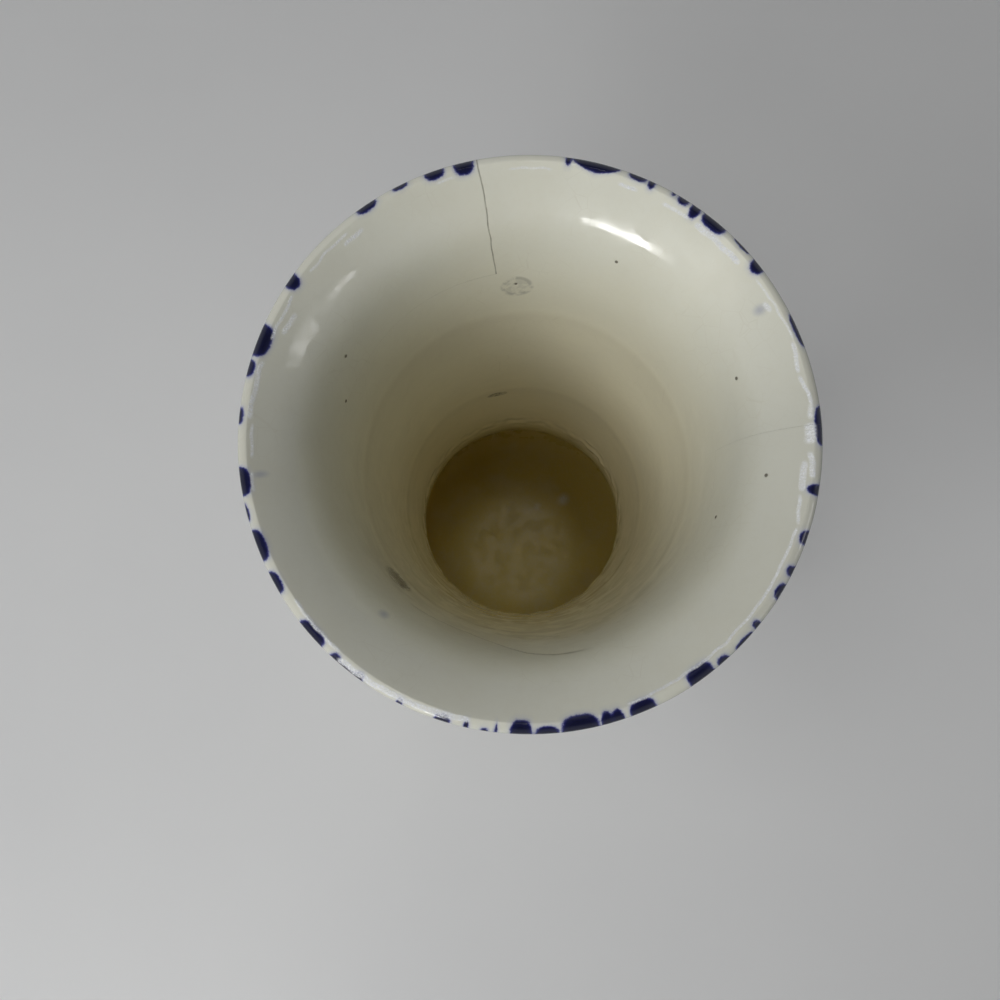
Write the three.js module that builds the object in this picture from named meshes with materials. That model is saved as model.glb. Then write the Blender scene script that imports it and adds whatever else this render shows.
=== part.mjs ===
// Pottery vase with a flared mouth, a waisted neck and a round body, in millimetres, +Z up.
// The origin is the centre of the face that the vase stands on. The vase is built the way it
// is made: clay sections turned one by one, given lapped edges and stuck together with slip.
import * as THREE from 'three';
import { mergeVertices } from 'three/addons/utils/BufferGeometryUtils.js';

// Heights of the sections, from the table up
const footHeight = 11;
const lowerBodyHeight = 74;
const upperBodyHeight = 50;
const neckHeight = 70;
const collarHeight = 58;
const mouthHeight = 50;

// Radii of the hollow inside, at the seams and between them
const floorBore = 47;
const bellyBore = 72.5;
const neckFootBore = 48;
const waistBore = 43.8;
const neckTopBore = 46.3;
const collarTopBore = 52;
const bendBore = 56.8;
const rimBore = 61.3;
const lipRadius = 75;

// Walls, and how fast the radius grows with height where a curve ends
const neckWall = 5.2;
const bodyWall = 6;
const floorThickness = 7;
const floorDish = 2.5;
const waistRise = 32;
const bendDepth = 18;
const bendFlare = 0.28;
const rimDepth = 8;
const rimFlare = 0.72;
const lipFlare = 1.35;
const bowlFlare = 0.95;
const shoulderFall = 0.75;
const lipCrown = 1.7;
const crestInset = 3.7;

// Foot ring
const baseRadius = 47;
const footSpread = 4;
const footWidth = 8.5;
const footChamfer = 0.8;
const tongueWidth = 2.6;
const tongueHeight = 2;

// Joints: the film of slip, its clearance to the clay, and how far the edges overlap
const slipThickness = 0.8;
const slipGap = 0.3;
const lapHeight = 2.6;
const seamBead = 0.7;
const neckInset = 12;
const collarEdge = 1.6;
const filletHeight = 4;

// Smoothness: steps round the axis and levels along each curve
const roundSteps = 48;
const mouthSteps = 5;
const rimSteps = 5;
const bodySteps = 7;
const neckSteps = 6;
const collarSteps = 4;
const lipSteps = 8;
const floorSteps = 3;
const sleeveSteps = 2;
const footSteps = 3;

// Levels that follow from the heights
const slipFilm = slipThickness + 2 * slipGap;
const baseZ = footHeight + slipFilm;
const floorZ = baseZ + floorThickness;
const girthZ = baseZ + lowerBodyHeight;
const upperBodyZ = girthZ + slipFilm;
const neckFootZ = upperBodyZ + upperBodyHeight;
const bodyTopZ = neckFootZ + neckInset;
const waistZ = neckFootZ + waistRise;
const neckTopZ = neckFootZ + neckHeight;
const collarZ = neckTopZ + slipFilm;
const collarTopZ = collarZ + collarHeight;
const mouthZ = collarTopZ + slipFilm;
const lipZ = mouthZ + mouthHeight;
const rimZ = lipZ - rimDepth;
const bendZ = lipZ - bendDepth;

// Radii that follow from the walls
const lipBore = lipRadius - neckWall;
const bellyRadius = bellyBore + bodyWall;
const mix = THREE.MathUtils.lerp;

// Radius at height z on a smooth curve through stations, each [height, radius, growth]
function curveRadius(stations, z) {
  const above = stations.findIndex(([height]) => height >= z);
  const next = above < 0 ? stations.length - 1 : Math.max(1, above);
  const [z0, r0, growth0] = stations[next - 1];
  const [z1, r1, growth1] = stations[next];
  const span = z1 - z0;
  const t = (z - z0) / span;
  const bend0 = growth0 * span - (r1 - r0);
  const bend1 = (r1 - r0) - growth1 * span;
  return mix(r0, r1, t) + t * (1 - t) * mix(bend0, bend1, t);
}

// Growth at a station between two stretches, so that the curve has no bulge of its own there
function growthBetween(below, above) {
  return 2 / (1 / below + 1 / above);
}

// Inside of the throat, from the foot of the neck up to the lip
const neckGrowth = (neckTopBore - waistBore) / (neckTopZ - waistZ);
const collarGrowth = (collarTopBore - neckTopBore) / (collarTopZ - neckTopZ);
const mouthGrowth = (bendBore - collarTopBore) / (bendZ - collarTopZ);
const throatStations = [
  [neckFootZ, neckFootBore, 2 * (waistBore - neckFootBore) / waistRise],
  [waistZ, waistBore, 0],
  [neckTopZ, neckTopBore, growthBetween(neckGrowth, collarGrowth)],
  [collarTopZ, collarTopBore, growthBetween(collarGrowth, mouthGrowth)],
  [bendZ, bendBore, bendFlare],
  [rimZ, rimBore, rimFlare],
  [lipZ, lipBore, lipFlare],
];
const throatBore = (z) => curveRadius(throatStations, z);
const throatOutside = (z) => throatBore(z) + neckWall;

// The upper body closes in from the belly to a sleeve round the end of the neck
const sleeveBore = (z) => throatOutside(z) + slipFilm;
const upperBodyBore = (z) => curveRadius([
  [upperBodyZ, bellyBore, 0],
  [neckFootZ, sleeveBore(neckFootZ), -shoulderFall],
], z);
const upperBodyOutside = (z) => curveRadius([
  [upperBodyZ, bellyRadius, 0],
  [bodyTopZ, sleeveBore(bodyTopZ) + collarEdge, -shoulderFall],
], z);

// The lower body is a bowl: upright at the girth and drawn in towards the foot
const lowerBodyBore = (z) => curveRadius([
  [floorZ + floorDish, floorBore, bowlFlare],
  [girthZ, bellyBore, 0],
], z);
const lowerBodyOutside = (z) => curveRadius([
  [baseZ, baseRadius, bowlFlare],
  [girthZ, bellyRadius, 0],
], z);

// Points [radius, height] of a curve between two levels, in steps of equal height
function along(radiusAt, fromZ, toZ, steps) {
  return Array.from({ length: steps + 1 }, (_, i) => {
    const z = mix(fromZ, toZ, i / steps);
    return [radiusAt(z), z];
  });
}

// Radius at which a lapped edge is split between the inner lip below and the outer skirt above
function lapRadius(boreRadius, outsideRadius) {
  return (boreRadius + outsideRadius) / 2;
}

// A solid turned from its outline of [radius, height] points, which runs up the outside
function turned(name, outline, finish) {
  const closed = outline[0][0] > 0 ? [...outline, outline[0]] : outline;
  const lathe = new THREE.LatheGeometry(closed.map(([r, z]) => new THREE.Vector2(r, z)), roundSteps);
  lathe.rotateX(Math.PI / 2);
  lathe.deleteAttribute('normal');
  lathe.deleteAttribute('uv');
  const solid = mergeVertices(lathe, 1e-4);
  const corners = solid.getIndex().array;
  const kept = [];
  for (let i = 0; i < corners.length; i += 3) {
    const [a, b, c] = corners.slice(i, i + 3);
    if (a !== b && b !== c && c !== a) kept.push(a, b, c);
  }
  solid.setIndex(kept);
  solid.computeVertexNormals();
  const mesh = new THREE.Mesh(solid, new THREE.MeshStandardMaterial({ metalness: 0, ...finish }));
  mesh.name = name;
  return mesh;
}

// Finishes: cream glaze with blue dabs, warmer glaze where it pools on the slip, bare clay
const dabbedGlaze = { color: 0xe0dcc8, roughness: 0.12 };
const pooledGlaze = { color: 0xb9ab84, roughness: 0.2 };
const bareClay = { color: 0xd8c7a6, roughness: 0.85 };

// Foot ring: a spreading ring with a flat, chamfered standing face and a tongue on top
function footRing() {
  const spreadRadius = baseRadius + footSpread;
  const inner = baseRadius - footWidth;
  const tongueInner = (baseRadius + inner - tongueWidth) / 2;
  const tongueTopZ = footHeight + tongueHeight;
  const spreadAt = (z) => ((footHeight - z) / (footHeight - footChamfer)) ** 2;
  const footOutside = (z) => mix(baseRadius, spreadRadius, spreadAt(z));
  return turned('foot_ring', [
    [inner + footChamfer, 0],
    [spreadRadius - footChamfer, 0],
    ...along(footOutside, footChamfer, footHeight, footSteps),
    [tongueInner + tongueWidth, footHeight],
    [tongueInner + tongueWidth, tongueTopZ],
    [tongueInner, tongueTopZ],
    [tongueInner, footHeight],
    [inner, footHeight],
    [inner, footChamfer],
  ], bareClay);
}

// Slip between the foot ring and the base, outside the tongue
function footSlip() {
  const inner = baseRadius - (footWidth - tongueWidth) / 2 + slipGap;
  const bottom = footHeight + slipGap;
  return turned('foot_slip', [
    [inner, bottom],
    [baseRadius - seamBead, bottom],
    [baseRadius - seamBead, bottom + slipThickness],
    [inner, bottom + slipThickness],
  ], bareClay);
}

// Lower body: a thrown bowl with a floor, a groove for the tongue of the foot ring and a lapped edge
function lowerBody() {
  const grooveInner = baseRadius - (footWidth + tongueWidth) / 2 - slipGap;
  const grooveOuter = grooveInner + tongueWidth + 2 * slipGap;
  const grooveZ = baseZ + tongueHeight;
  const shoulderZ = girthZ - lapHeight;
  const split = lapRadius(bellyBore, bellyRadius);
  const floor = (r) => floorZ + floorDish * (r / floorBore) ** 2;
  return turned('lower_body', [
    [0, baseZ],
    [grooveInner, baseZ],
    [grooveInner, grooveZ],
    [grooveOuter, grooveZ],
    [grooveOuter, baseZ],
    ...along(lowerBodyOutside, baseZ, shoulderZ, bodySteps),
    [split, shoulderZ],
    [split, girthZ],
    ...along(lowerBodyBore, girthZ, floorZ + floorDish, bodySteps),
    ...Array.from({ length: floorSteps }, (_, i) => {
      const r = floorBore * (1 - (i + 1) / floorSteps);
      return [r, floor(r)];
    }),
  ], dabbedGlaze);
}

// Slip ring of a lapped joint whose lower edge ends at joinZ, with a bead that shows inside
function lapSlip(name, joinZ, boreRadius, split) {
  const bottom = joinZ + slipGap;
  return turned(name, [
    [boreRadius, bottom],
    [split, bottom],
    [split, bottom + slipThickness],
    [boreRadius, bottom + slipThickness],
    [boreRadius - seamBead, bottom + slipThickness / 2],
  ], pooledGlaze);
}

// Upper body: the shoulder, lapped over the bowl below and closed in to a collar round the neck
function upperBody() {
  const split = lapRadius(bellyBore, bellyRadius);
  const skirtZ = girthZ - lapHeight + slipGap;
  return turned('upper_body', [
    [split + slipGap, skirtZ],
    [bellyRadius, skirtZ],
    ...along(upperBodyOutside, upperBodyZ, bodyTopZ, bodySteps),
    ...along(sleeveBore, bodyTopZ, neckFootZ, sleeveSteps),
    ...along(upperBodyBore, neckFootZ, upperBodyZ, bodySteps).slice(1),
    [split + slipGap, upperBodyZ],
  ], dabbedGlaze);
}

// Slip round the inserted end of the neck, with a fillet above the edge of the body
function neckSlip() {
  const inside = (z) => throatOutside(z) + slipGap;
  const outside = (z) => inside(z) + slipThickness;
  const filletZ = bodyTopZ + slipGap;
  return turned('neck_slip', [
    ...along(outside, neckFootZ, bodyTopZ, sleeveSteps),
    [outside(filletZ), filletZ],
    [sleeveBore(bodyTopZ) + collarEdge, filletZ],
    [outside(filletZ), mix(filletZ, filletZ + filletHeight, 0.5)],
    [inside(filletZ + filletHeight), filletZ + filletHeight],
    ...along(inside, bodyTopZ, neckFootZ, sleeveSteps),
  ], pooledGlaze);
}

// Radius of the lapped edge that a section of the throat has on top, at joinZ
function throatSplit(joinZ) {
  return lapRadius(throatBore(joinZ), throatOutside(joinZ - lapHeight));
}

// Inner lip on top of a section, which stands inside the skirt of the next one
function spigot(joinZ) {
  return [[throatSplit(joinZ), joinZ - lapHeight], [throatSplit(joinZ), joinZ]];
}

// Skirt under a section whose bore begins at bottomZ: its inside, and its outside up to there
function skirt(bottomZ) {
  const joinZ = bottomZ - slipFilm;
  const skirtZ = joinZ - lapHeight + slipGap;
  const inner = throatSplit(joinZ) + slipGap;
  return [[inner, bottomZ], [inner, skirtZ], [throatOutside(skirtZ), skirtZ]];
}

// Neck: a waisted tube with a square end below and a lapped edge on top
function neck() {
  return turned('neck', [
    ...along(throatOutside, neckFootZ, neckTopZ - lapHeight, neckSteps),
    ...spigot(neckTopZ),
    ...along(throatBore, neckTopZ, neckFootZ, neckSteps),
  ], dabbedGlaze);
}

// Collar: a tube that widens upwards, lapped over the neck and under the mouth
function collar() {
  return turned('collar', [
    ...skirt(collarZ),
    ...along(throatOutside, collarZ, collarTopZ - lapHeight, collarSteps),
    ...spigot(collarTopZ),
    ...along(throatBore, collarTopZ, collarZ, collarSteps),
  ], dabbedGlaze);
}

// Mouth: a trumpet that bends out into a wide rim, with the crest of the lip near the inside
function mouth() {
  const crestRadius = lipRadius - crestInset;
  const lip = Array.from({ length: lipSteps - 1 }, (_, i) => {
    const turn = (Math.PI * (i + 1)) / lipSteps;
    const reach = turn < Math.PI / 2 ? crestInset : crestRadius - lipBore;
    return [crestRadius + reach * Math.cos(turn), lipZ + lipCrown * Math.sin(turn)];
  });
  return turned('mouth', [
    ...skirt(mouthZ),
    ...along(throatOutside, mouthZ, rimZ, mouthSteps),
    ...along(throatOutside, rimZ, lipZ, rimSteps).slice(1),
    ...lip,
    ...along(throatBore, lipZ, rimZ, rimSteps),
    ...along(throatBore, rimZ, mouthZ, mouthSteps).slice(1),
  ], dabbedGlaze);
}

function throatSlip(name, joinZ) {
  return lapSlip(name, joinZ, throatBore(joinZ), throatSplit(joinZ));
}

const vase = new THREE.Group();
vase.name = 'pottery_vase';
vase.add(
  footRing(),
  footSlip(),
  lowerBody(),
  lapSlip('girth_slip', girthZ, bellyBore, lapRadius(bellyBore, bellyRadius)),
  upperBody(),
  neckSlip(),
  neck(),
  throatSlip('collar_slip', neckTopZ),
  collar(),
  throatSlip('mouth_slip', collarTopZ),
  mouth(),
);

export default vase;
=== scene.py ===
import math
import bmesh
import bpy
from mathutils import Matrix, Vector, noise


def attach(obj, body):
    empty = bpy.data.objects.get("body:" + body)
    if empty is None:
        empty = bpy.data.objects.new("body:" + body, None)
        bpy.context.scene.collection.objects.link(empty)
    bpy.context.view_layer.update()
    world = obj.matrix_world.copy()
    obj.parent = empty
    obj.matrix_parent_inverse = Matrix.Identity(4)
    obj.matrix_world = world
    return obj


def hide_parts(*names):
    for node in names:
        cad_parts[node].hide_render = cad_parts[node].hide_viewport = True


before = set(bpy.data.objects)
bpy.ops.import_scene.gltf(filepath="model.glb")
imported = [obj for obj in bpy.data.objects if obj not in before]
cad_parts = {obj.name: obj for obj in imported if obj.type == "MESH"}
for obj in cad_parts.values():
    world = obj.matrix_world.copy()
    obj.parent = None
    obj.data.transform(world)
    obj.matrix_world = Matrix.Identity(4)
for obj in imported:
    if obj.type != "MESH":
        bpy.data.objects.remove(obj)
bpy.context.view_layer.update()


# Foot ring
# The ring of bare clay that the vase stands on. It is turned to a flat standing face, spreads
# a little towards the table and has a tongue on top that keys into the base of the bowl.
mm = 0.001
turn_steps = 384
sharp_angle = math.radians(35)

foot_height = 11
base_radius = 47
foot_spread = 4
foot_width = 8.5
foot_edge = 0.9
tongue_width = 2.6
tongue_height = 2
lip_z = 318.6
oval = 0.010
wobble = 0.22
lip_wave = 0.25
lap_edge = 1.8
lap_rise = 2.2
lap_radius = 45.5
cream = (0.775, 0.775, 0.67, 1.0)


def mix(a, b, t):
    return a + (b - a) * t


def clamp(value, low=0.0, high=1.0):
    return max(low, min(high, value))


def along(radius_at, from_z, to_z, steps):
    """Points [radius, height] of a curve between two levels"""
    levels = [mix(from_z, to_z, i / steps) for i in range(steps + 1)]
    return [(radius_at(z), z) for z in levels]


def out_of_true(point):
    """Where clay that was turned round ends up: a little oval at the rim and never quite even"""
    x, y, z = (c / mm for c in point)
    radius = math.hypot(x, y)
    if radius < 0.01:
        return point
    rise = clamp((z - 150) / 170) ** 1.6
    around = Vector((x, y, 0)) / radius
    slow = noise.noise(around * 1.4 + Vector((0, 0, z / 55)))
    quick = noise.noise(around * 4 + Vector((7, 3, z / 18)))
    grow = 1 + wobble * (slow + 0.3 * quick) * clamp(z / 25) / radius
    lift = lip_wave * noise.noise(around * 2.2 + Vector((5, 1, 9))) * clamp((z - 296) / 22)
    return Vector((x * grow * (1 - oval * rise), y * grow * (1 + oval * rise), z + lift)) * mm


def turned(name, outline, steps=turn_steps, soften=0.0):
    """A closed piece turned from its outline of [radius, height] points"""
    bm = bmesh.new()
    points = [bm.verts.new((r * mm, 0, z * mm)) for r, z in outline]
    ends = points[1:] + points[:1] if outline[0][0] > 0 else points[1:]
    sides = [bm.edges.new(pair) for pair in zip(points, ends)]
    bmesh.ops.spin(bm, geom=points + sides, cent=(0, 0, 0), axis=(0, 0, 1),
                   dvec=(0, 0, 0), angle=2 * math.pi, steps=steps, use_merge=True)
    bmesh.ops.remove_doubles(bm, verts=bm.verts, dist=0.001 * mm)
    bmesh.ops.recalc_face_normals(bm, faces=bm.faces)
    if soften:
        corners = [e for e in bm.edges if e.calc_face_angle(0) > sharp_angle]
        bmesh.ops.bevel(bm, geom=corners, offset=soften * mm, segments=3, profile=0.5,
                        affect='EDGES', material=-1, clamp_overlap=True)
    for face in bm.faces:
        face.smooth = True
    for edge in bm.edges:
        edge.smooth = edge.calc_face_angle(0) < sharp_angle
    mesh = bpy.data.meshes.new(name)
    bm.to_mesh(mesh)
    bm.free()
    piece = bpy.data.objects.new(name, mesh)
    bpy.context.collection.objects.link(piece)
    return piece


def settle(piece, shape=None):
    """Moves the points of a piece to where the clay ends up"""
    for vertex in piece.data.vertices:
        point = vertex.co.copy()
        if shape:
            point = shape(point)
        vertex.co = out_of_true(point)


def paint(piece, attribute, value_at):
    """Writes one number for each point of a piece, for its glaze to read"""
    layer = piece.data.attributes.new(attribute, 'FLOAT', 'POINT')
    layer.data.foreach_set('value', [value_at(v.co) for v in piece.data.vertices])


def node(tree, kind, *sources, **settings):
    """A shader node with its settings and what feeds its inputs, in order"""
    made = tree.nodes.new('ShaderNode' + kind)
    for key, value in settings.items():
        setattr(made, key, value)
    for socket, source in zip(made.inputs, sources):
        feed(tree, socket, source)
    return made


def feed(tree, socket, source):
    if isinstance(source, bpy.types.NodeSocket):
        tree.links.new(source, socket)
    elif source is not None:
        socket.default_value = source


def calc(tree, operation, *sources):
    return node(tree, 'Math', *sources, operation=operation).outputs[0]


def span(tree, value, low, high, to_low=0.0, to_high=1.0):
    """A value carried smoothly from one range to another"""
    made = node(tree, 'MapRange', value, low, high, to_low, to_high)
    made.interpolation_type = 'SMOOTHSTEP'
    return made.outputs[0]


def blend(tree, factor, under, over, how='MIX'):
    made = node(tree, 'Mix', data_type='RGBA', blend_type=how)
    feed(tree, made.inputs[0], factor)
    feed(tree, made.inputs[6], under)
    feed(tree, made.inputs[7], over)
    return made.outputs[2]


def grain(tree, place, size, detail=3.0, rough=0.55):
    """Noise from 0 to 1 whose features are about size millimetres"""
    made = node(tree, 'TexNoise')
    feed(tree, made.inputs['Vector'], place)
    made.inputs['Scale'].default_value = 1 / (size * mm)
    made.inputs['Detail'].default_value = detail
    made.inputs['Roughness'].default_value = rough
    return made.outputs['Fac']


def rgb(red, green, blue):
    return (red, green, blue, 1.0)


def new_material(name):
    made = bpy.data.materials.new(name)
    made.use_nodes = True
    tree = made.node_tree
    shader = tree.nodes['Principled BSDF']
    place = node(tree, 'TexCoord').outputs['Object']
    return made, tree, shader, place


def bare_clay():
    """Dry buff clay with grog, iron specks and a grey, rubbed standing face. Outside, the glaze
    of the bowl laps down over it and ends in an uneven edge above the table"""
    made, tree, shader, place = new_material('bare_clay')
    height = node(tree, 'SeparateXYZ', place).outputs[2]
    level = node(tree, 'VectorMath', place, operation='MULTIPLY')
    level.inputs[1].default_value = (1, 1, 0)
    radius = node(tree, 'VectorMath', level.outputs[0], operation='LENGTH').outputs['Value']
    edge = calc(tree, 'MULTIPLY_ADD', grain(tree, place, 11), lap_rise * mm, lap_edge * mm)
    above = calc(tree, 'SUBTRACT', height, edge)
    lapped = calc(tree, 'MULTIPLY', span(tree, above, -0.1 * mm, 0.15 * mm),
                  span(tree, radius, lap_radius * mm, (lap_radius + 0.4) * mm))
    body = blend(tree, grain(tree, place, 9), rgb(0.60, 0.47, 0.31), rgb(0.50, 0.38, 0.24))
    grog = span(tree, grain(tree, place, 0.5, 2), 0.62, 0.74)
    body = blend(tree, grog, body, rgb(0.70, 0.60, 0.46))
    iron = node(tree, 'TexVoronoi')
    feed(tree, iron.inputs['Vector'], place)
    iron.inputs['Scale'].default_value = 1 / (3.2 * mm)
    specks = span(tree, iron.outputs['Distance'], 0.10, 0.05)
    body = blend(tree, specks, body, rgb(0.16, 0.09, 0.05))
    sole = calc(tree, 'MULTIPLY', span(tree, height, 1.1 * mm, 0.2 * mm),
                span(tree, grain(tree, place, 4), 0.35, 0.6))
    body = blend(tree, sole, body, rgb(0.33, 0.30, 0.26))
    coat = blend(tree, span(tree, above, 1.6 * mm, 0.2 * mm, 0, 0.6), cream, rgb(0.62, 0.50, 0.31))
    body = blend(tree, lapped, body, coat)
    tree.links.new(body, shader.inputs['Base Color'])
    dry = span(tree, sole, 0, 1, 0.82, 0.6)
    tree.links.new(calc(tree, 'MULTIPLY_ADD', lapped, -0.7, dry), shader.inputs['Roughness'])
    bump = node(tree, 'Bump')
    bump.inputs['Strength'].default_value = 0.55
    bump.inputs['Distance'].default_value = 0.25 * mm
    rough = calc(tree, 'MULTIPLY', grain(tree, place, 0.8, 5, 0.65),
                 calc(tree, 'MULTIPLY_ADD', lapped, -0.9, 1.0))
    feed(tree, bump.inputs['Height'], calc(tree, 'MULTIPLY_ADD', lapped, 0.8, rough))
    tree.links.new(bump.outputs[0], shader.inputs['Normal'])
    return made


clay_material = bare_clay()


def foot_outside(z):
    return mix(base_radius, base_radius + foot_spread, ((foot_height - z) / foot_height) ** 2)


foot_inner = base_radius - foot_width
tongue_inner = (base_radius + foot_inner - tongue_width) / 2
foot_ring = turned('foot_ring_turned', [
    (foot_inner, 0),
    (base_radius + foot_spread, 0),
    *along(foot_outside, foot_edge, foot_height, 10),
    (tongue_inner + tongue_width, foot_height),
    (tongue_inner + tongue_width, foot_height + tongue_height),
    (tongue_inner, foot_height + tongue_height),
    (tongue_inner, foot_height),
    (foot_inner, foot_height),
    (foot_inner, foot_height / 2),
], soften=0.45)
settle(foot_ring)
foot_ring.data.materials.append(clay_material)
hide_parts('foot_ring')
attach(foot_ring, 'root')


# Foot slip
# The line of slip that sticks the foot ring to the base, wiped off almost flush before firing.
# The glaze of the foot runs over it.
film = 1.4
base_z = foot_height + film
slip_line = 0.25
foot_slip = turned('foot_slip_line', [
    (tongue_inner + tongue_width, foot_height),
    (base_radius - slip_line, foot_height),
    (base_radius - 0.4 * slip_line, foot_height + 0.35 * film),
    (base_radius, base_z),
    (tongue_inner + tongue_width, base_z),
])
settle(foot_slip)
foot_slip.data.materials.append(clay_material)
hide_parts('foot_slip')
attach(foot_slip, 'root')


# Lower body
# A thrown bowl of white earthenware with a dished floor, drawn in to the foot. The glaze is
# cream and crazed inside, and outside it carries dabs of cobalt put on with a cut sponge.
lower_body_height = 74
floor_thickness = 7
floor_dish = 2.5
floor_bore = 47
belly_bore = 72.5
body_wall = 6
bowl_flare = 0.95
lap_height = 2.6
groove_play = 0.3

floor_z = base_z + floor_thickness
girth_z = base_z + lower_body_height
belly_radius = belly_bore + body_wall
belly_split = (belly_bore + belly_radius) / 2

warm_cream = rgb(0.75, 0.72, 0.57)
# Painted shade: by height, the inside cream is made browner and darker towards the bottom
depth_shade_by_height = [(0.02, (0.75, 0.60, 0.16)), (0.138, (0.75, 0.62, 0.27)),
                   (0.170, (0.79, 0.70, 0.44)), (0.209, (0.80, 0.735, 0.52)),
                   (0.268, (0.82, 0.79, 0.63)), (0.304, (0.83, 0.83, 0.72))]
depth_shade_top = 0.32
floor_fillet = 20
corner_pool, pool_reach = 0.08, 7
dull_rise, dull_fade = 25, 30
rub_and_glint_white = rgb(0.93, 0.95, 0.97)
crack_brown = rgb(0.30, 0.28, 0.22)
dirt_brown = rgb(0.07, 0.055, 0.035)
pooled_brown = rgb(0.42, 0.36, 0.21)
craze_brown = rgb(0.40, 0.33, 0.20)
# Grey of the painted shade inside the rim
side_shade_grey = rgb(0.12, 0.125, 0.12)
mark_grey = rgb(0.33, 0.33, 0.29)
smudge_blue = rgb(0.30, 0.33, 0.46)
cloud_size, mottle_size, craze_size = 26, 1.6, 5.5
speckle_size, patch_size = 0.55, 7
wave_size, wave_height = 13, 0.20
ripple_size, ripple_height = 3.0, 0.03
crack_level = 10.0
dab_size = 14
# Painted highlights on the floor: place, reach and strength of two soft glints
floor_glints = [((28.7, 32.5), 4.6, 0.62), ((11.9, 28.4), 3.4, 0.42)]


def curve_radius(stations, z):
    """Radius at height z on a smooth curve through stations, each (height, radius, growth)"""
    above = [i for i, station in enumerate(stations) if station[0] >= z]
    upper = max(1, above[0]) if above else len(stations) - 1
    z0, r0, growth0 = stations[upper - 1]
    z1, r1, growth1 = stations[upper]
    t = (z - z0) / (z1 - z0)
    bend0 = growth0 * (z1 - z0) - (r1 - r0)
    bend1 = (r1 - r0) - growth1 * (z1 - z0)
    return mix(r0, r1, t) + t * (1 - t) * mix(bend0, bend1, t)


def read(tree, attribute):
    return node(tree, 'Attribute', attribute_name=attribute).outputs['Fac']


def sponge_dabs(tree, place, size, turn):
    """Signed depth in a pattern of separate dabs: 0 far outside, 1 at their edges, 2 in them"""
    drift = node(tree, 'VectorMath', place, operation='ADD')
    drift.inputs[1].default_value = turn
    bent = node(tree, 'TexNoise')
    feed(tree, bent.inputs['Vector'], drift.outputs[0])
    bent.inputs['Scale'].default_value = 1 / (4.5 * mm)
    bent.inputs['Detail'].default_value = 3
    shift = node(tree, 'VectorMath', bent.outputs['Color'], operation='SUBTRACT')
    shift.inputs[1].default_value = (0.5, 0.5, 0.5)
    slide = node(tree, 'VectorMath', shift.outputs[0], operation='SCALE')
    slide.inputs['Scale'].default_value = 4.2 * mm
    bent_place = node(tree, 'VectorMath', drift.outputs[0], slide.outputs[0], operation='ADD')
    cells = node(tree, 'TexVoronoi')
    feed(tree, cells.inputs['Vector'], bent_place.outputs[0])
    cells.inputs['Scale'].default_value = 1 / (size * mm)
    cells.inputs['Randomness'].default_value = 0.85
    chance = node(tree, 'SeparateColor', cells.outputs['Color']).outputs[0]
    reach = span(tree, chance, 0.12, 1.0, 0.02, 0.39)
    inside = calc(tree, 'SUBTRACT', reach, cells.outputs['Distance'])
    return calc(tree, 'MULTIPLY_ADD', inside, size / 3, 1.0)


def nearest(tree, place, points):
    """Distance in millimetres to the nearest of a few points"""
    least = None
    for point in points:
        away = node(tree, 'VectorMath', place, operation='DISTANCE')
        away.inputs[1].default_value = point
        reach = away.outputs['Value']
        least = calc(tree, 'MINIMUM', least, reach) if least else reach
    return calc(tree, 'MULTIPLY', least, 1 / mm)


def painted_depth_shade(tree, height):
    """Cream painted warmer, browner and darker the further down inside: painted shade of the dim
    depths of the vase
    """
    made = node(tree, 'ValToRGB', calc(tree, 'DIVIDE', height, depth_shade_top))
    stops = made.color_ramp.elements
    stops.remove(stops[1])
    stops[0].position = depth_shade_by_height[0][0] / depth_shade_top
    stops[0].color = rgb(*depth_shade_by_height[0][1])
    for level, shade in depth_shade_by_height[1:]:
        stops.new(level / depth_shade_top).color = rgb(*shade)
    return made.outputs['Color']


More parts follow.
